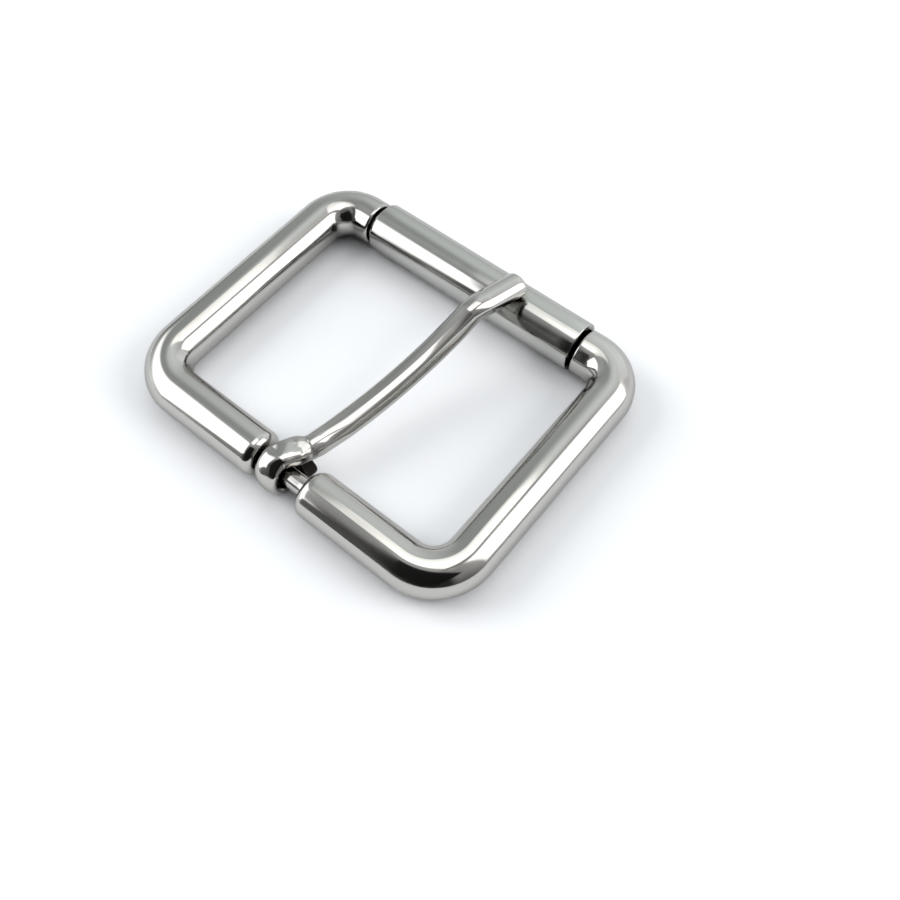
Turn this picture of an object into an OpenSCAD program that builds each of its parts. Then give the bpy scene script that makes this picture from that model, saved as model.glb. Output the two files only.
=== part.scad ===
// Roller buckle: a round-wire frame, a loose roller on its far bar and a
// bowed tongue whose loop turns on a thin neck in the near bar.
// The buckle lies flat, with the surface at z = 0. X runs along the two
// long bars, Y from the near bar to the far bar, and the origin is on the
// surface under the middle of the whole outline.

/* [Frame] */
// Clear width between the side bars, the widest strap that passes
strap_w = 40; // [34:0.5:46]
// Thickness of the frame's round wire
wire_d = 5.9; // [5.4:0.1:6.4]
// Distance between the middles of the near and far bars
bar_spacing = 35.2; // [35:0.1:35.4]
// Inside radius of the near corners
near_corner_in_r = 2.3; // [1.5:0.1:3]
// Inside radius of the far corners
far_corner_in_r = 1.7; // [1:0.1:2.4]
// Rounding of the wire's ends where it steps down to a thinner part
shoulder_round = 0.8; // [0.3:0.1:1]

/* [Neck] */
// Thickness of the neck that the tongue turns on
neck_d = 2.45; // [2:0.05:2.5]
// Length of the neck between its two shoulders
neck_len = 6.7; // [6:0.1:8]

/* [Roller] */
// Outside diameter of the roller
roller_d = 6.5; // [6.4:0.05:6.6]
// Wall of the roller's tube
roller_wall = 0.7; // [0.5:0.05:0.75]
// Length of the roller
roller_len = 31.6; // [28:0.1:32]
// How far the roller has slid towards the right-hand corner
roller_slide = 0.3; // [0:0.05:0.4]
// Length of the thinned stretch of the far bar that carries the roller
journal_len = 32.9; // [32.9:0.1:33.2]
// Thickness of that stretch
journal_d = 4.3; // [3.8:0.05:4.3]
// Rounding of the roller's outer edges
roller_edge = 0.15; // [0.05:0.05:0.3]

/* [Tongue] */
// Thickness of the tongue's round wire
tongue_d = 3; // [2.6:0.05:3]
// How far the tongue points away from straight ahead, seen from above
tongue_skew = 9.7; // [8:0.1:11]
// Where the shaft's plane crosses the near bar, from its middle
tongue_x = 0.1; // [-0.3:0.1:0.3]
// Distance from the neck to the blunt end, along the tongue
reach = 35.8; // [35.2:0.1:36.4]
// Radius of the shaft's long sag
sag_r = 48.4; // [48:0.1:49]
// Distance from the neck to the lowest point of the sag
sag_at = 8.35; // [8.2:0.05:8.5]
// Height of the shaft's centre line there, above the neck's centre line
sag_h = 1.58; // [1.56:0.01:1.7]
// Slope of the shaft where it reaches the bend, in degrees
climb = 23.9; // [23.9:0.1:24.2]
// Radius of the bend just before the roller
bend_r = 4; // [3.5:0.1:4.5]
// Slope of the flat tip beyond the bend, downwards in degrees
tip_drop = 10.2; // [9.8:0.1:10.2]
// Rounding of the blunt end's edge
tip_round = 0.5; // [0.4:0.1:0.9]

/* [Loop] */
// Width of the flattened loop along the neck
loop_w = 3; // [2.8:0.1:3]
// Radius of the loop's hole
hole_r = 1.55; // [1.55:0.01:1.6]
// Outside radius of the loop
loop_r = 3.1; // [3.05:0.01:3.1]
// How far the loop's outline sits behind the hole's middle
loop_back = 0.3; // [0.3:0.05:0.4]
// How far the loop's outline sits above the hole's middle
loop_up = 0.17; // [0.15:0.01:0.2]
// How far the loop sits to the left of the shaft's plane
loop_aside = 0.75; // [0.5:0.05:0.9]
// Angle of the loop from straight ahead, seen from above
loop_skew = 12; // [10:0.1:12]
// Rounding of the loop's outer edges
loop_round = 0.65; // [0.4:0.05:0.7]
// Depth of the flare at each mouth of the hole
flare = 0.6; // [0.6:0.05:0.8]
// How much the flare widens the hole's radius at the mouth
flare_grow = 0.3; // [0.3:0.05:0.4]
// Height of the slit between the loop's free end and the shaft
slit = 0.55; // [0.4:0.05:0.6]

/* [Hidden] */
$fn = 96;

// How far a cut runs past what it cuts, and a thin bar into the thick one that holds it
over = 1;
wire_r = wire_d / 2;
roller_r = roller_d / 2;
tongue_r = tongue_d / 2;
side_x = strap_w / 2 + wire_r;
near_r = near_corner_in_r + wire_r;
far_r = far_corner_in_r + wire_r;
// The roller is the thicker one, so the outline's middle lies nearer to it
near_y = -(bar_spacing + roller_r - wire_r) / 2;
far_y = near_y + bar_spacing;

// Turns a drawing so that its x runs along Y, its y along Z and its axis along X
module side_view() {
    rotate([90, 0, 90]) children();
}

// Turns what stands on the XY plane so that it points along X
module along_x() {
    rotate([0, 90, 0]) children();
}

// Half outline of a round bar of radius r and length len whose top edge is rounded
module rounded_half(r, len, edge) {
    square([r - edge, len]);
    square([r, len - edge]);
    translate([r - edge, len - edge]) circle(r = edge);
}

// Round bar along X from x = 0 to x = len, with the far edge rounded
module bar(r, len, edge) {
    along_x() rotate_extrude() rounded_half(r, len, edge);
}

// Quarter bend of the wire about a corner's centre, starting at angle from
module corner(x, y, bend, from) {
    translate([x, y, wire_r]) rotate([0, 0, from])
        rotate_extrude(angle = 90) translate([bend, 0]) circle(r = wire_r);
}

// One straight end of a long bar, from the corner inwards to the step
module bar_end(y, side, bend, step_x) {
    corner_x = side_x - bend;
    translate([side * corner_x, y, wire_r]) mirror([side > 0 ? 1 : 0, 0, 0])
        bar(wire_r, corner_x - step_x, shoulder_round);
}

module frame() {
    color([0.78, 0.77, 0.74]) union() {
        for (side = [-1, 1]) {
            bar_end(near_y, side, near_r, neck_len / 2);
            bar_end(far_y, side, far_r, journal_len / 2);
            translate([side * side_x, near_y + near_r, wire_r]) rotate([-90, 0, 0])
                cylinder(r = wire_r, h = bar_spacing - near_r - far_r);
        }
        corner(-side_x + near_r, near_y + near_r, near_r, 180);
        corner(side_x - near_r, near_y + near_r, near_r, 270);
        corner(side_x - far_r, far_y - far_r, far_r, 0);
        corner(-side_x + far_r, far_y - far_r, far_r, 90);
        // The neck and the roller's journal run into the wire at both ends
        translate([-neck_len / 2 - over, near_y, wire_r]) along_x()
            cylinder(d = neck_d, h = neck_len + 2 * over);
        translate([-journal_len / 2 - over, far_y, wire_r]) along_x()
            cylinder(d = journal_d, h = journal_len + 2 * over);
    }
}

module roller() {
    half = roller_len / 2;
    color([0.74, 0.75, 0.72]) translate([roller_slide, far_y, roller_r]) difference() {
        union() {
            bar(roller_r, half, roller_edge);
            mirror([1, 0, 0]) bar(roller_r, half, roller_edge);
        }
        translate([-half - over, 0, 0]) along_x()
            cylinder(r = roller_r - roller_wall, h = roller_len + 2 * over);
    }
}

// The tongue is drawn from the neck's centre line, with Y along the shaft.
// Where the sag ends and the bend starts, the bend's centre, and where the tip starts
bend_start = [sag_at + sag_r * sin(climb), sag_h + sag_r * (1 - cos(climb))];
bend_mid = bend_start + bend_r * [sin(climb), -cos(climb)];
tip_start = bend_mid + bend_r * [sin(tip_drop), cos(tip_drop)];
tip_len = (reach - tip_start[0]) / cos(tip_drop);
// The wire thins by this much in the bend, which reaches so many degrees into its ends
bend_thin = 0.02;
bend_lap = 3;
// Distance from the neck to the shaft's front end, where the loop's root begins
shaft_front = 3.3;
front_angle = asin((shaft_front - sag_at) / sag_r);

// Arc of wire of radius r in the side view, about mid, from angle a over sweep
module wire_arc(mid, path_r, a, sweep, r) {
    translate(mid) rotate([0, 0, a])
        rotate_extrude(angle = sweep) translate([path_r, 0]) circle(r = r);
}

module shaft() {
    turn = climb + tip_drop + 2 * bend_lap;
    side_view() {
        wire_arc([sag_at, sag_h + sag_r, 0], sag_r, front_angle - 90, climb - front_angle, tongue_r);
        wire_arc([bend_mid[0], bend_mid[1], 0], bend_r, 90 - tip_drop - bend_lap, turn,
            tongue_r - bend_thin);
    }
    translate([0, tip_start[0], tip_start[1]]) rotate([-tip_drop, 0, 0]) rotate([0, 0, 90])
        bar(tongue_r, tip_len, tip_round);
}

// Radius and height of the root's front end, over the neck
root_r = 1.35;
root_h = 1.87;
// How far the root runs into the shaft, and how far it turns aside from it
root_lap = 0.35;
root_turn = atan(loop_aside / shaft_front);

// Thick root of the loop, which narrows from the shaft forward until it is over the neck
module loop_root() {
    translate([-loop_aside, 0, root_h]) rotate([0, 0, -root_turn]) rotate([-90, 0, 0])
        cylinder(r1 = root_r, r2 = tongue_r - bend_thin, h = shaft_front / cos(root_turn) + root_lap);
}

// Section of the loop from its axis outwards: a flat band with rounded edges
module loop_section() {
    flat_w = loop_w - 2 * loop_round;
    translate([0, -loop_w / 2]) square([loop_r - loop_round, loop_w]);
    translate([0, -flat_w / 2]) square([loop_r, flat_w]);
    for (side = [-1, 1])
        translate([loop_r - loop_round, side * flat_w / 2]) circle(r = loop_round);
}

// Places what is drawn round the loop's axis, in the side view, on the neck's centre line
module at_loop() {
    translate([-loop_aside, -loop_aside * tan(tongue_skew), 0])
        rotate([0, 0, tongue_skew - loop_skew]) side_view() children();
}

module loop_band() {
    at_loop() translate([loop_back, loop_up, 0]) rotate_extrude() loop_section();
}

// Hole of the loop, flared at both mouths so that the skewed loop clears the neck
module loop_hole() {
    at_loop() {
        translate([0, 0, -loop_w]) cylinder(r = hole_r, h = 2 * loop_w);
        // Each flare's cone is twice as long as its depth, so that it runs out of the mouth
        for (turn = [0, 180]) rotate([0, turn, 0]) translate([0, 0, loop_w / 2 - flare])
            cylinder(r1 = hole_r, r2 = hole_r + 2 * flare_grow, h = 2 * flare);
    }
}

// Where the slit starts behind the neck's centre line, and the height of its upper side
slit_from = 0.95;
slit_top = 0.35;

// Slit that leaves the loop's free end just under the shaft
module loop_slit() {
    translate([-loop_w, slit_from, slit_top - slit]) cube([2 * loop_w, loop_r, slit]);
}

module tongue() {
    color([0.8, 0.79, 0.76]) translate([tongue_x, near_y, wire_r]) rotate([0, 0, -tongue_skew])
        union() {
            shaft();
            difference() {
                union() {
                    loop_band();
                    loop_root();
                }
                loop_hole();
                loop_slit();
            }
        }
}

frame();
roller();
tongue();
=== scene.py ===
# Roller buckle: the visual model, its materials, the light and the camera.
# Sizes in the code are in millimetres, and go to metres where they reach Blender.
import math

import bmesh
import bpy
import numpy as np
from mathutils import Matrix, Vector


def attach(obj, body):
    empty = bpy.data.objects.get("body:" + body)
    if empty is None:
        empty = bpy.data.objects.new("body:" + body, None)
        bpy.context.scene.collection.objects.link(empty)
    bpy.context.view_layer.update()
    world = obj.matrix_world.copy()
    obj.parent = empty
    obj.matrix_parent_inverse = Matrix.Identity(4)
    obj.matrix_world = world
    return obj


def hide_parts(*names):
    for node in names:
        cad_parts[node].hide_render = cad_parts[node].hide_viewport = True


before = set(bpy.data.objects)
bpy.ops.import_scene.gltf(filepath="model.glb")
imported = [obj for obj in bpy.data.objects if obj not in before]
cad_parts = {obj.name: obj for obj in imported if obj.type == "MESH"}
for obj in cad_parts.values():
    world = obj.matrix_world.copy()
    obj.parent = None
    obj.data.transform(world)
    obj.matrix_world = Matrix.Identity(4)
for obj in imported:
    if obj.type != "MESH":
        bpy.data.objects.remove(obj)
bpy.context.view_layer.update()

MM = 0.001

# Sizes repeated from the part's source
WIRE_R = 2.95
NEAR_Y = -17.75
FAR_Y = 17.45
SIDE_X = 22.95
NEAR_R = 5.25
FAR_R = 4.65
NECK_R = 1.225
NECK_LEN = 6.7
JOURNAL_R = 2.15
JOURNAL_LEN = 32.9
ROLLER_R = 3.25
ROLLER_WALL = 0.7
ROLLER_LEN = 31.6
ROLLER_X = 0.3
TONGUE_R = 1.5
TONGUE_X = 0.1
SKEW = math.radians(9.7)
REACH = 35.8
SAG_R = 48.4
SAG_AT = 8.35
SAG_H = 1.58
CLIMB = math.radians(23.9)
BEND_R = 4.0
TIP_DROP = math.radians(10.2)
TIP_ROUND = 0.5

# Points round each piece
WIRE_AROUND = 96
ROLLER_AROUND = 128
TONGUE_AROUND = 144

# Rounding of the wire's ends beside the neck and beside the roller, and of their feet
NECK_EDGE, NECK_FILLET = 1.25, 0.2
JOURNAL_EDGE, JOURNAL_FILLET = 0.4, 0.25
# Rings round each of the wire's bends
CORNER_RINGS = 48
# Rounding of the roller's outer edges and of the lips of its bore
ROLLER_EDGE, ROLLER_LIP = 0.15, 0.1

# Rings along the tongue's loop, its root, the sag, the bend and the tip
LOOP_RINGS = 80
ROOT_RINGS = 36
SAG_RINGS = 60
BEND_RINGS = 40
TIP_RINGS = 8
# Where the root ends and where the shaft begins, by distance from the neck
ROOT_END = 4.0
SHAFT_FROM = 4.15
# By how much the dressed tip is longer, wider and thinner than the plain one,
# and by how much it is further right and lower
TIP_MORE = 0.2
TIP_WIDE = 0.19
TIP_THIN = 0.12
TIP_ASIDE = 0.13
TIP_SUNK = 0.1
# Rounding of the loop's sheared end, and how many strips of faces have the cut end's nearly black
# material, partly its unplated cut and partly painted shade
FREE_ROUND = 0.12
CUT_STRIPS = 4


# Geometry

def add(name, data):
    """A new object in the scene."""
    item = bpy.data.objects.new(name, data)
    bpy.context.scene.collection.objects.link(item)
    return item


def build(name, rings, body, node, material, cap=False):
    """A smooth skin through rings, each an array of points.
    The last ring joins the first unless cap is set."""
    rings = np.asarray(rings, float) * MM
    count, around = rings.shape[:2]
    points = [tuple(p) for p in rings.reshape(-1, 3)]
    faces = []
    for i in range(count - 1 if cap else count):
        j = (i + 1) % count
        for k in range(around):
            m = (k + 1) % around
            faces.append((i * around + k, i * around + m, j * around + m, j * around + k))
    if cap:
        for ring in (0, count - 1):
            points.append(tuple(rings[ring].mean(0)))
            for k in range(around):
                m = (k + 1) % around
                faces.append((len(points) - 1, ring * around + k, ring * around + m))
    mesh = bpy.data.meshes.new(name)
    mesh.from_pydata(points, [], faces)
    work = bmesh.new()
    work.from_mesh(mesh)
    bmesh.ops.recalc_face_normals(work, faces=work.faces)
    work.to_mesh(mesh)
    work.free()
    mesh.polygons.foreach_set("use_smooth", [True] * len(mesh.polygons))
    mesh.materials.append(material)
    piece = add(name, mesh)
    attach(piece, body)
    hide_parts(node)
    return piece


def steps(a, b, count):
    """count values from a towards b, without b."""
    return [a + (b - a) * i / count for i in range(count)]


def full_turn(around):
    """Angles of the points round a ring."""
    return [2 * math.pi * k / around for k in range(around)]


def clamp(value):
    return min(max(value, 0.0), 1.0)


def shoulder(thin_r, thick_r, edge, fillet):
    """(x, r) pairs from the thin bar at x < 0 out to the thick bar, whose end face is at x = 0.
    edge rounds the face's rim, and fillet its foot."""
    pairs = []
    for a in steps(0, 90, 6):
        t = math.radians(a)
        pairs.append((-fillet + fillet * math.sin(t), thin_r + fillet * (1 - math.cos(t))))
    top = thick_r - edge
    low = thin_r + fillet
    for f in (0.0, 0.05, 0.5, 0.95):
        pairs.append((0.0, low + (top - low) * f))
    for a in steps(0, 90, 14):
        t = math.radians(a)
        pairs.append((edge * (1 - math.cos(t)), top + edge * math.sin(t)))
    pairs.append((edge, thick_r))
    return pairs


def corner(x, y, bend, start):
    """Stations round a quarter bend of the wire about (x, y), from start in degrees."""
    stations = []
    for a in steps(start, start + 90, CORNER_RINGS):
        out = (math.cos(math.radians(a)), math.sin(math.radians(a)))
        stations.append(((x + bend * out[0], y + bend * out[1]), out, WIRE_R))
    return stations


def wire_stations():
    """(place, outward direction, radius) along the frame's wire, once round from the neck."""
    half = []
    neck = NECK_LEN / 2
    for x in (0.0, 1.2, 2.4):
        half.append(((x, NEAR_Y), (0, -1), NECK_R))
    for x, r in shoulder(NECK_R, WIRE_R, NECK_EDGE, NECK_FILLET):
        half.append(((neck + x, NEAR_Y), (0, -1), r))
    bend_x = SIDE_X - NEAR_R
    for x in steps(neck + NECK_EDGE + 0.25, bend_x, 14):
        half.append(((x, NEAR_Y), (0, -1), WIRE_R))
    half += corner(bend_x, NEAR_Y + NEAR_R, NEAR_R, -90)
    for y in steps(NEAR_Y + NEAR_R, FAR_Y - FAR_R, 24):
        half.append(((SIDE_X, y), (1, 0), WIRE_R))
    bend_x = SIDE_X - FAR_R
    half += corner(bend_x, FAR_Y - FAR_R, FAR_R, 0)
    journal = JOURNAL_LEN / 2
    half.append(((bend_x, FAR_Y), (0, 1), WIRE_R))
    half.append(((bend_x - 0.5, FAR_Y), (0, 1), WIRE_R))
    for x, r in reversed(shoulder(JOURNAL_R, WIRE_R, JOURNAL_EDGE, JOURNAL_FILLET)):
        half.append(((journal + x, FAR_Y), (0, 1), r))
    for x in (journal - 1.5, journal * 0.6, journal * 0.3):
        half.append(((x, FAR_Y), (0, 1), JOURNAL_R))
    other = []
    for (x, y), (nx, ny), r in reversed(half[1:]):
        other.append(((-x, y), (-nx, ny), r))
    return half + [((0.0, FAR_Y), (0, 1), JOURNAL_R)] + other


def wire_rings():
    rings = []
    for (x, y), (nx, ny), r in wire_stations():
        rings.append([(x + nx * r * math.cos(a), y + ny * r * math.cos(a), WIRE_R + r * math.sin(a))
                      for a in full_turn(WIRE_AROUND)])
    return rings


def roller_rings():
    """The roller's wall as a closed profile turned about its axis."""
    half = ROLLER_LEN / 2
    bore = ROLLER_R - ROLLER_WALL
    edge, lip = ROLLER_EDGE, ROLLER_LIP
    right = [(x, ROLLER_R) for x in steps(0, half - edge - 0.01, 8)]
    for a in range(0, 91, 15):
        t = math.radians(a)
        right.append((half - edge + edge * math.sin(t), ROLLER_R - edge + edge * math.cos(t)))
    for a in range(0, 91, 18):
        t = math.radians(a)
        right.append((half - lip + lip * math.cos(t), bore + lip - lip * math.sin(t)))
    right += [(x, bore) for x in steps(half - lip - 0.01, 0, 5)]
    profile = right + [(0.0, bore)] + [(-x, r) for x, r in reversed(right[1:])]
    rings = []
    for x, r in profile:
        rings.append([(ROLLER_X + x, FAR_Y + r * math.cos(a), ROLLER_R + r * math.sin(a))
                      for a in full_turn(ROLLER_AROUND)])
    return rings


def hermite(points, slopes, t):
    """Value at t of the smooth curve through (t, value) points with the given slopes."""
    for (t0, v0), (t1, v1), m0, m1 in zip(points, points[1:], slopes, slopes[1:]):
        if t <= t1:
            break
    h = t1 - t0
    u = clamp((t - t0) / h)
    return ((2 * u ** 3 - 3 * u ** 2 + 1) * v0 + (u ** 3 - 2 * u ** 2 + u) * h * m0
            + (-2 * u ** 3 + 3 * u ** 2) * v1 + (u ** 3 - u ** 2) * h * m1)


def ease(points, t):
    """Value at t of a curve through (t, value) points with Catmull-Rom slopes."""
    slopes = []
    for i in range(len(points)):
        a, b = points[max(i - 1, 0)], points[min(i + 1, len(points) - 1)]
        slopes.append((b[1] - a[1]) / (b[0] - a[0]))
    return hermite(points, slopes, t)


# The loop by angle about the neck, where 90 is on top, 180 in front, 270 below and 360 behind:
# its outer and inner radius, its middle across and its half width. From LOOP_SQUARE on its
# section gets squarer.
LOOP_END = 349.0
LOOP_SQUARE = 250
LOOP_OUT = [(60, 3.3), (90, 3.3), (135, 3.1), (180, 2.95), (225, 2.92), (270, 2.92), (310, 3.12),
            (349, 3.4)]
LOOP_IN = [(60, 1.5), (90, 1.5), (180, 1.5), (270, 1.5), (349, 1.55)]
LOOP_X = [(60, -1.0), (90, -1.18), (120, -1.22), (180, -1.07), (225, -0.92), (270, -0.72),
          (310, 0.1), (349, 1.0)]
LOOP_HALF = [(60, 1.66), (90, 1.66), (120, 1.64), (180, 1.52), (270, 1.45), (349, 1.15)]
# The broad root behind the neck by distance from it: top, underside, middle across and half width
ROOT_TOP = [(0, 3.3), (1.2, 3.26), (2.4, 3.17), (3.2, 3.07), (3.6, 3.07), (4.3, 3.27)]
ROOT_UNDER = [(0, 1.5), (1.2, 1.1), (2.4, 0.55), (3.2, 0.42), (3.6, 0.36), (4.3, 0.27)]
ROOT_X = [(0, -1.18), (1.2, -0.78), (2.4, -0.2), (3.2, 0.3), (3.6, 0.52), (4.3, 0.83)]
ROOT_HALF = [(0, 1.66), (1.2, 1.73), (2.4, 1.72), (3.2, 1.5), (3.6, 1.42), (4.3, 1.5)]
# The shaft's wire is not quite round: its radius by angle, 0 on top and positive towards +X,
# as a share of its usual one, which is a little more than TONGUE_R
WORN = [(-71, 1.0), (-56, 0.967), (-46, 0.943), (-36, 0.925), (-26, 0.917), (-16, 0.922),
        (-6, 0.936), (4, 0.956), (12, 0.971), (19, 0.985), (24, 1.0), (30, 1.023), (35, 1.045),
        (38, 1.057), (41, 1.059), (44, 1.048), (48, 1.034), (54, 1.019), (64, 1.013), (74, 1.032),
        (84, 1.067), (91, 1.095), (96, 1.09), (104, 1.055), (118, 1.02), (140, 1.0), (250, 1.0),
        (289, 1.0)]
WORN_START = WORN[0][0]
WORN_GROWN = 1.03
# Between which distances from the neck this form fades in and out
WORN_IN = (5.5, 8.5)
WORN_OUT = (25.0, 29.5)


def shaft_path():
    """(y, z) of the middle of the shaft, from behind the root to the tip, with the neck at 0."""
    front_a = math.asin((SHAFT_FROM / math.cos(SKEW) - SAG_AT) / SAG_R)
    shaft = []
    for i in range(1, SAG_RINGS + 1):
        a = front_a + (CLIMB - front_a) * i / SAG_RINGS
        shaft.append((SAG_AT + SAG_R * math.sin(a), SAG_H + SAG_R * (1 - math.cos(a))))
    end_y, end_z = shaft[-1]
    mid = (end_y + BEND_R * math.sin(CLIMB), end_z - BEND_R * math.cos(CLIMB))
    for i in range(1, BEND_RINGS + 1):
        a = CLIMB - (CLIMB + TIP_DROP) * i / BEND_RINGS
        shaft.append((mid[0] - BEND_R * math.sin(a), mid[1] + BEND_R * math.cos(a)))
    tip_y, tip_z = shaft[-1]
    tip_len = (REACH + TIP_MORE - tip_y) / math.cos(TIP_DROP) - TIP_ROUND
    for i in range(1, TIP_RINGS + 1):
        d = tip_len * i / TIP_RINGS
        shaft.append((tip_y + d * math.cos(TIP_DROP), tip_z - d * math.sin(TIP_DROP)))
    return shaft


def tongue_path():
    """Stations from the loop's free end to the tip, with the neck at 0.
    Each has its centre, half thickness, half width, squareness, and how far WORN holds there."""
    stations = []
    for i in range(LOOP_RINGS + 1):
        a = LOOP_END + (90 - LOOP_END) * i / LOOP_RINGS
        t = math.radians(a)
        out, into = ease(LOOP_OUT, a), ease(LOOP_IN, a)
        middle = (out + into) / 2
        square = 0.2 + 0.6 * max(a - LOOP_SQUARE, 0) / (LOOP_END - LOOP_SQUARE)
        stations.append(((ease(LOOP_X, a), middle * math.cos(t), middle * math.sin(t)),
                         (out - into) / 2, ease(LOOP_HALF, a), square, 0.0))
    for i in range(1, ROOT_RINGS + 1):
        y = ROOT_END * i / ROOT_RINGS
        top, under = ease(ROOT_TOP, y), ease(ROOT_UNDER, y)
        # Squarest about half way, where the root's top is flat
        square = 0.2 * (1 - y / ROOT_END) + 0.6 * math.sin(math.pi * y / ROOT_END)
        stations.append(((ease(ROOT_X, y), y, (top + under) / 2),
                         (top - under) / 2, ease(ROOT_HALF, y), square, 0.0))
    # The skewed plane of the shaft meets the root where the shaft begins
    for i, (y, z) in enumerate(shaft_path()):
        tip = clamp((i - SAG_RINGS) / BEND_RINGS)
        worn = (clamp((y - WORN_IN[0]) / (WORN_IN[1] - WORN_IN[0]))
                * clamp((WORN_OUT[1] - y) / (WORN_OUT[1] - WORN_OUT[0])))
        stations.append(((TONGUE_X + TIP_ASIDE * tip + y * math.sin(SKEW), y * math.cos(SKEW),
                          z - TIP_SUNK * tip),
                         TONGUE_R - TIP_THIN * tip, TONGUE_R + TIP_WIDE * tip, 0.0, worn))
    return stations


def section(half_t, half_w, square, worn):
    """Points round the tongue's section, from the end of its first axis, the one of its thickness:
    an ellipse, squarer towards a flat band."""
    # A superellipse's power, which is 1 for an ellipse
    power = 2 / (2 + 1.3 * square)
    points = []
    for a in full_turn(TONGUE_AROUND):
        c, s = math.cos(a), math.sin(a)
        r = 1.0
        if worn:
            # The first axis points down along the shaft, half a turn from the top
            turn = (math.degrees(a) + 180 - WORN_START) % 360 + WORN_START
            r += worn * (WORN_GROWN * ease(WORN, turn) - 1.0)
        points.append((r * half_t * math.copysign(abs(c) ** power, c),
                       r * half_w * math.copysign(abs(s) ** power, s)))
    return points


def rounded_end(ring, centre, along, rounds):
    """Rings that round off an end that points along, then close in over its flat face."""
    more = []
    size = np.linalg.norm(ring - centre, axis=1)
    for a in range(15, 91, 15):
        r = math.radians(a)
        keep = (size - rounds * (1 - math.cos(r))) / size
        more.append(centre + (ring - centre) * keep[:, None] + along * rounds * math.sin(r))
    flat = more[-1]
    middle = centre + along * rounds
    for f in (0.93, 0.5):
        more.append(middle + (flat - middle) * f)
    return more


def tongue_rings():
    stations = tongue_path()
    centres = np.array([s[0] for s in stations])
    last = len(stations) - 1
    rings = []
    tangents = []
    for i, station in enumerate(stations):
        t = centres[min(i + 1, last)] - centres[max(i - 1, 0)]
        t /= np.linalg.norm(t)
        # Towards the neck round the loop, and so down along the shaft, in the plane across X
        n = np.array([0.0, t[2], -t[1]])
        n /= np.linalg.norm(n)
        side = np.cross(t, n)
        rings.append(np.array([centres[i] + n * p + side * q for p, q in section(*station[1:])]))
        tangents.append(t)
    free = rounded_end(rings[0], centres[0], -tangents[0], FREE_ROUND)
    tip = rounded_end(rings[-1], centres[-1], tangents[-1], TIP_ROUND)
    place = np.array([0.0, NEAR_Y, WIRE_R])
    return [r + place for r in free[::-1] + rings + tip]


# Materials

def plug(tree, socket, value):
    """Links the socket to an output, or gives it a number or a colour."""
    if isinstance(value, bpy.types.NodeSocket):
        tree.links.new(value, socket)
    else:
        socket.default_value = value


def math_node(tree, kind, first, second):
    node = tree.nodes.new("ShaderNodeMath")
    node.operation = kind
    plug(tree, node.inputs[0], first)
    plug(tree, node.inputs[1], second)
    return node.outputs[0]


def mix_node(tree, share, first, second):
    """The colour first where share is 0, and second where it is 1."""
    node = tree.nodes.new("ShaderNodeMix")
    node.data_type = "RGBA"
    tree.links.new(share, node.inputs["Factor"])
    plug(tree, node.inputs[6], first)
    plug(tree, node.inputs[7], second)
    return node.outputs[2]


def fade_node(tree, value, start, full, low=0.0, high=1.0, kind="SMOOTHSTEP"):
    """Goes from low to high while value goes from start to full."""
    node = tree.nodes.new("ShaderNodeMapRange")
    node.interpolation_type = kind
    for name, number in (("From Min", start), ("From Max", full),
                         ("To Min", low), ("To Max", high)):
        node.inputs[name].default_value = number
    tree.links.new(value, node.inputs["Value"])
    return node.outputs[0]


def noise_node(tree, place, scale, detail, stretch=(1, 1, 1), shift=(0, 0, 0)):
    node = tree.nodes.new("ShaderNodeTexNoise")
    node.inputs["Scale"].default_value = scale
    node.inputs["Detail"].default_value = detail
    if stretch != (1, 1, 1) or shift != (0, 0, 0):
        turn = tree.nodes.new("ShaderNodeMapping")
        turn.inputs["Scale"].default_value = stretch
        turn.inputs["Location"].default_value = [c * MM for c in shift]
        tree.links.new(place, turn.inputs["Vector"])
        place = turn.outputs[0]
    tree.links.new(place, node.inputs["Vector"])
    return node.outputs["Fac"]


def bump_node(tree, height, depth, normal=None):
    """Tilts the surface as a relief of the given depth in millimetres would."""
    node = tree.nodes.new("ShaderNodeBump")
    node.inputs["Strength"].default_value = 1.0
    node.inputs["Distance"].default_value = depth * MM
    tree.links.new(height, node.inputs["Height"])
    if normal is not None:
        tree.links.new(normal, node.inputs["Normal"])
    return node.outputs["Normal"]


def new_material(name):
    """A material and its Principled shader."""
    material = bpy.data.materials.new(name)
    material.use_nodes = True
    return material, material.node_tree.nodes["Principled BSDF"]


# The metal's colour, darker than real nickel, and the colour of the painted shade that darkens it
# in crevices, with that shade's reach in millimetres
NICKEL = (0.49, 0.48, 0.46)
PAINTED_CREVICE_SHADE = (0.06, 0.05, 0.04)
SHADE_REACH = 2.5
# Noise scales per metre, and the depth of the relief that each noise makes
CLOUD_SCALE = 160.0
WAVE_SCALE, WAVE_DEPTH = 210.0, 0.014
DENT_SCALE, DENT_DEPTH = 480.0, 0.42
GRAIN_SCALE, GRAIN_DEPTH = 1900.0, 0.0009
# Where in the noise the dents are taken, and between which Y they fade out along the tongue
DENT_PLACE = (2.1, 3.9, 0.0)
DENT_GONE, DENT_FULL = -11.5, -15.0


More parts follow.
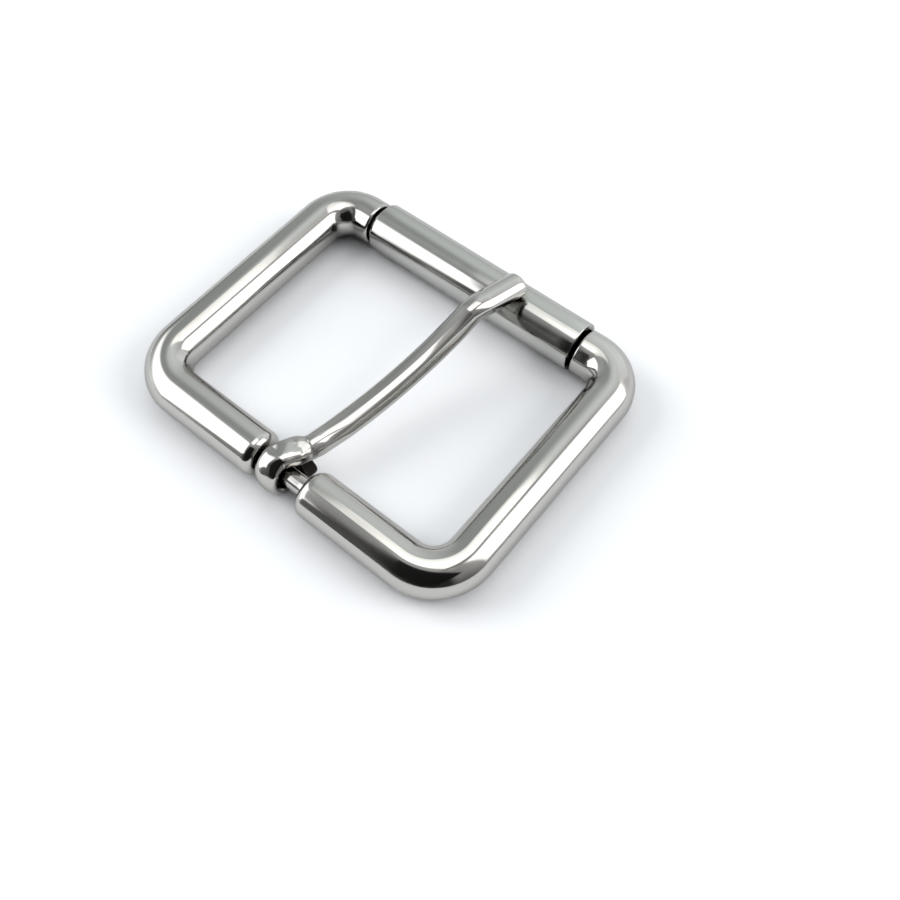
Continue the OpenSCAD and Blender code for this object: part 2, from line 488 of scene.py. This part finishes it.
def metal(name, colour, roughness, shade, stretch=(1, 1, 1), hammered=False):
    """Polished metal: slightly wavy, with fine grain and a faint cloudiness, and painted shade that
    darkens it in crevices.
    stretch draws out the grain, and hammered adds the dents of the tool that closed the loop."""
    material, shader = new_material(name)
    tree = material.node_tree
    shader.inputs["Metallic"].default_value = 1.0
    shader.inputs["Specular Tint"].default_value = (0.7, 0.7, 0.7, 1.0)
    place = tree.nodes.new("ShaderNodeTexCoord").outputs["Object"]
    # Painted shade: where ambient occlusion finds a crevice, the base colour goes from colour to
    # shade
    occlusion = tree.nodes.new("ShaderNodeAmbientOcclusion")
    occlusion.samples = 4
    occlusion.inputs["Distance"].default_value = SHADE_REACH * MM
    open_share = fade_node(tree, occlusion.outputs["AO"], 0.15, 0.8)
    base = mix_node(tree, open_share, (*shade, 1.0), (*colour, 1.0))
    tree.links.new(base, shader.inputs["Base Color"])
    cloud = noise_node(tree, place, CLOUD_SCALE, 3.0)
    rough = fade_node(tree, cloud, 0.35, 0.7, roughness * 0.7, roughness * 1.6, "LINEAR")
    tree.links.new(rough, shader.inputs["Roughness"])
    wave = bump_node(tree, noise_node(tree, place, WAVE_SCALE, 1.0), WAVE_DEPTH)
    if hammered:
        split = tree.nodes.new("ShaderNodeSeparateXYZ")
        tree.links.new(place, split.inputs[0])
        near = fade_node(tree, split.outputs["Y"], DENT_GONE * MM, DENT_FULL * MM)
        dents = noise_node(tree, place, DENT_SCALE, 0.0, shift=DENT_PLACE)
        wave = bump_node(tree, math_node(tree, "MULTIPLY", dents, near), DENT_DEPTH, wave)
    grain = noise_node(tree, place, GRAIN_SCALE, 2.0, stretch)
    tree.links.new(bump_node(tree, grain, GRAIN_DEPTH, wave), shader.inputs["Normal"])
    return material


nickel = metal("polished_nickel", NICKEL, 0.09, PAINTED_CREVICE_SHADE)
hammered_nickel = metal("hammered_nickel", NICKEL, 0.09, PAINTED_CREVICE_SHADE, hammered=True)
# The loop's sheared end: nearly black, partly as an unplated, roughly sheared cut and partly as
# painted shade for the deep shadow it lies in
cut_and_shade = metal("sheared_end_painted_shade", (0.025, 0.022, 0.02), 0.45, (0.01, 0.01, 0.01))
drawn = metal("drawn_nickel_tube", (0.475, 0.475, 0.455), 0.11, PAINTED_CREVICE_SHADE, stretch=(0.06, 1, 1))

frame_piece = build("frame_wire", wire_rings(), "frame", "frame", nickel)
roller_piece = build("roller_tube", roller_rings(), "roller", "roller", drawn)
tongue_piece = build("tongue_wire", tongue_rings(), "tongue", "tongue", hammered_nickel, cap=True)
tongue_piece.data.materials.append(cut_and_shade)
# The loop's free end has the first strips, and the first of the two caps, which come last; they get
# the cut end's nearly black material, partly painted shade
cap_from = len(tongue_piece.data.polygons) - 2 * TONGUE_AROUND
for face in tongue_piece.data.polygons:
    in_cap = cap_from <= face.index < cap_from + TONGUE_AROUND
    if face.index < CUT_STRIPS * TONGUE_AROUND or in_cap:
        face.material_index = 1


# Stage, light and camera. The floor's and the backdrop's sizes are in metres.

def floor():
    mesh = bpy.data.meshes.new("floor")
    r = 3.0
    mesh.from_pydata([(-r, -r, 0), (r, -r, 0), (r, r, 0), (-r, r, 0)], [], [(0, 1, 2, 3)])
    paint, shader = new_material("floor_white")
    shader.inputs["Base Color"].default_value = (0.875, 0.895, 0.925, 1.0)
    shader.inputs["Roughness"].default_value = 0.9
    shader.inputs["Specular IOR Level"].default_value = 0.1
    mesh.materials.append(paint)
    plane = add("floor", mesh)


def backdrop():
    """A pale wall far behind, for low views. The camera alone sees it."""
    mesh = bpy.data.meshes.new("backdrop")
    r, height, sides = 2.9, 6.0, 64
    points, faces = [], []
    for k, a in enumerate(full_turn(sides)):
        points += [(r * math.cos(a), r * math.sin(a), z) for z in (0.0, height)]
        m = (k + 1) % sides
        faces.append((2 * k, 2 * m, 2 * m + 1, 2 * k + 1))
    mesh.from_pydata(points, [], faces)
    paint, shader = new_material("backdrop_white")
    shader.inputs["Base Color"].default_value = (0.0, 0.0, 0.0, 1.0)
    shader.inputs["Specular IOR Level"].default_value = 0.0
    shader.inputs["Emission Color"].default_value = (1.0, 1.0, 1.0, 1.0)
    shader.inputs["Emission Strength"].default_value = 1.0
    mesh.materials.append(paint)
    wall = add("backdrop", mesh)
    wall.visible_diffuse = False
    wall.visible_glossy = False
    wall.visible_shadow = False


def panel(name, corner_at, u, v, soft, near, far, colour=(1.0, 1.0, 1.0), solid=False):
    """A sheet from a corner along u and v that glows in reflections alone. A solid one also hides
    what is behind it. soft is its fade as a share of the sheet at u 0, u 1, v 0 and v 1, and near
    and far are its brightness at u 0 and u 1."""
    corner_at, u, v = (Vector(p) * MM for p in (corner_at, u, v))
    mesh = bpy.data.meshes.new(name)
    mesh.from_pydata([corner_at, corner_at + u, corner_at + u + v, corner_at + v], [],
                     [(0, 1, 2, 3)])
    uv = mesh.uv_layers.new(name="sheet")
    for loop, place in enumerate(((0, 0), (1, 0), (1, 1), (0, 1))):
        uv.data[loop].uv = place
    glow = bpy.data.materials.new(name)
    glow.use_nodes = True
    tree = glow.node_tree
    tree.nodes.clear()
    output = tree.nodes.new("ShaderNodeOutputMaterial")
    light = tree.nodes.new("ShaderNodeEmission")
    light.inputs["Color"].default_value = (*colour, 1.0)
    clear = tree.nodes.new("ShaderNodeBsdfTransparent")
    place = tree.nodes.new("ShaderNodeTexCoord")
    split = tree.nodes.new("ShaderNodeSeparateXYZ")
    tree.links.new(place.outputs["UV"], split.inputs[0])
    cover = None
    for axis, edge, full in (("X", 0.0, soft[0]), ("X", 1.0, 1.0 - soft[1]),
                             ("Y", 0.0, soft[2]), ("Y", 1.0, 1.0 - soft[3])):
        fade = fade_node(tree, split.outputs[axis], edge, full)
        cover = fade if cover is None else math_node(tree, "MULTIPLY", cover, fade)
    power = fade_node(tree, split.outputs["X"], 0.0, 1.0, near, far, "LINEAR")
    if solid:
        both = tree.nodes.new("ShaderNodeMixShader")
        tree.links.new(cover, both.inputs[0])
        tree.links.new(clear.outputs[0], both.inputs[1])
        tree.links.new(light.outputs[0], both.inputs[2])
    else:
        power = math_node(tree, "MULTIPLY", power, cover)
        both = tree.nodes.new("ShaderNodeAddShader")
        tree.links.new(light.outputs[0], both.inputs[0])
        tree.links.new(clear.outputs[0], both.inputs[1])
    tree.links.new(power, light.inputs["Strength"])
    tree.links.new(both.outputs[0], output.inputs["Surface"])
    mesh.materials.append(glow)
    sheet = add(name, mesh)
    sheet.visible_camera = False
    sheet.visible_diffuse = False
    sheet.visible_shadow = False


def fill(name, place, size, power, colour):
    """A square lamp aimed at the origin, seen neither directly nor in reflections."""
    light = bpy.data.lights.new(name, "AREA")
    light.shape = "RECTANGLE"
    light.size = light.size_y = size * MM
    light.energy = power
    light.color = colour
    lamp = add(name, light)
    lamp.location = Vector(place) * MM
    lamp.rotation_mode = "QUATERNION"
    lamp.rotation_quaternion = (-lamp.location).to_track_quat("-Z", "Y")
    lamp.visible_camera = False
    lamp.visible_glossy = False


floor()
backdrop()
panel("panel_over", (-88.0, -36.0, 202.6), (150.0, -1.4, -0.1), (1.7, 131.5, -1.1),
      (0.13, 0.04, 0.10, 0.13), 0.90, 1.96, (1.0, 0.995, 0.965))
panel("panel_over_near", (-62.0, -38.0, 202.0), (102.0, 0.0, 0.0), (0.0, 90.0, 0.0),
      (0.20, 0.20, 0.12, 0.25), 0.90, 0.50)
panel("panel_right", (91.5, -7.0, 193.0), (198.3, 71.0, -145.8), (9.0, 219.8, -7.5),
      (0.04, 0.11, 0.12, 0.10), 2.40, 1.91)
panel("panel_left", (-54.1, -37.6, 135.8), (-28.6, 54.1, -110.1), (-32.3, -175.6, -14.3),
      (0.08, 0.14, 0.09, 0.14), 2.35, 1.72, (0.985, 0.995, 1.0))
panel("panel_back", (-43.6, 157.0, -2.1), (122.5, -17.2, 23.2), (7.8, -4.9, 126.0),
      (0.08, 0.05, 0.05, 0.10), 0.08, 0.25)
panel("panel_front", (-58.2, -196.7, 206.5), (182.5, 0.3, 0.6), (0.4, 175.1, 0.8),
      (0.08, 0.08, 0.08, 0.03), 0.18, 0.17, (1.0, 0.99, 0.97))
panel("dark_side", (-17.0, -43.9, 101.7), (149.9, 9.0, 0.3), (-16.1, -112.9, -70.9),
      (0.07, 0.06, 0.06, 0.05), 0.02, 0.01, solid=True)
panel("dark_seam", (66.0, -60.0, 203.0), (14.0, 0.0, 0.0), (0.0, 190.0, 0.0),
      (0.25, 0.25, 0.08, 0.08), 0.25, 0.25, solid=True)
fill("fill_top", (0, 0, 1500), 1400, 3.6, (1.0, 1.0, 1.0))
fill("fill_right", (1150, 600, 800), 900, 12.7, (1.0, 0.985, 0.96))
fill("fill_left", (-1080, -420, 810), 900, 12.6, (1.0, 0.985, 0.97))

# Brightness of the room by azimuth in degrees, 0 along +X and 90 along +Y: at the horizon, and
# higher up. Straight up it is ROOM_TOP.
ROOM = ((-180, 0.67, 0.61), (-150, 1.39, 0.54), (-125, 0.62, 0.41), (-114, 0.16, 0.06),
        (-107, 0.09, 0.19), (-70, 0.02, 0.02), (-32, 0.03, 0.04), (-22, 0.18, 0.37),
        (-8, 0.18, 0.43), (12, 0.39, 0.61), (40, 0.97, 1.01), (65, 0.89, 0.78), (85, 1.13, 1.02),
        (105, 0.92, 1.12), (125, 0.75, 0.94), (145, 0.76, 0.51), (165, 0.37, 0.49),
        (180, 0.67, 0.61))
ROOM_TOP = 0.43


def room_ramp(tree, share, column):
    """The brightness in a column of ROOM, as share goes once round from -180 to 180 degrees."""
    ramp = tree.nodes.new("ShaderNodeValToRGB")
    tree.links.new(share, ramp.inputs["Fac"])
    marks = ramp.color_ramp.elements
    for i, stop in enumerate(ROOM):
        spot = (stop[0] + 180) / 360
        mark = marks[0] if i == 0 else (marks[-1] if i == len(ROOM) - 1 else marks.new(spot))
        mark.position = spot
        # The back of the room, and the left of it, has a little less red
        red = 0.95 if stop[0] > 75 or stop[0] < -140 else 1.0
        mark.color = (stop[column] * red, stop[column], stop[column], 1.0)
    return ramp.outputs[0]


def room():
    """The world's light. It goes from the horizon's ramp to the higher one, and to ROOM_TOP."""
    world = bpy.data.worlds.new("studio")
    bpy.context.scene.world = world
    world.use_nodes = True
    tree = world.node_tree
    place = tree.nodes.new("ShaderNodeTexCoord")
    split = tree.nodes.new("ShaderNodeSeparateXYZ")
    tree.links.new(place.outputs["Generated"], split.inputs[0])
    turn = math_node(tree, "ARCTAN2", split.outputs["Y"], split.outputs["X"])
    share = fade_node(tree, turn, -math.pi, math.pi, kind="LINEAR")
    horizon, higher = room_ramp(tree, share, 1), room_ramp(tree, share, 2)
    # Z is the sine of the height over the horizon, and so the cosine of the angle from the top
    lower = fade_node(tree, split.outputs["Z"], 0.0, 0.75)
    upper = fade_node(tree, split.outputs["Z"],
                      math.cos(math.radians(28)), math.cos(math.radians(10)))
    colour = mix_node(tree, lower, horizon, higher)
    colour = mix_node(tree, upper, colour, (ROOM_TOP, ROOM_TOP, ROOM_TOP, 1.0))
    tree.links.new(colour, tree.nodes["Background"].inputs["Color"])


room()

# The camera that was fitted to the photo, with its focal length in pixels
CAMERA_PLACE = (49.295, -46.306, 101.938)
CAMERA_AZ = math.radians(40.6067)
CAMERA_EL = math.radians(60.3902)
CAMERA_ROLL = math.radians(-1.7518)
CAMERA_F = 979.334
PHOTO_SIDE = 900
SENSOR = 36.0


def photo_camera():
    data = bpy.data.cameras.new("camera")
    data.sensor_width = SENSOR
    data.lens = CAMERA_F / PHOTO_SIDE * SENSOR
    data.clip_start = 0.005
    data.clip_end = 10.0
    camera = add("camera", data)
    ca, sa = math.cos(CAMERA_AZ), math.sin(CAMERA_AZ)
    ce, se = math.cos(CAMERA_EL), math.sin(CAMERA_EL)
    cr, sr = math.cos(CAMERA_ROLL), math.sin(CAMERA_ROLL)
    back = Vector((sa * ce, -ca * ce, se))
    right = Vector((ca, sa, 0.0))
    up = back.cross(right)
    right, up = right * cr + up * sr, up * cr - right * sr
    pose = Matrix((right, up, back)).transposed().to_4x4()
    pose.translation = Vector(CAMERA_PLACE) * MM
    camera.matrix_world = pose
    return camera


bpy.context.scene.camera = photo_camera()

view = bpy.context.scene.view_settings
view.view_transform = "Standard"
view.look = "None"
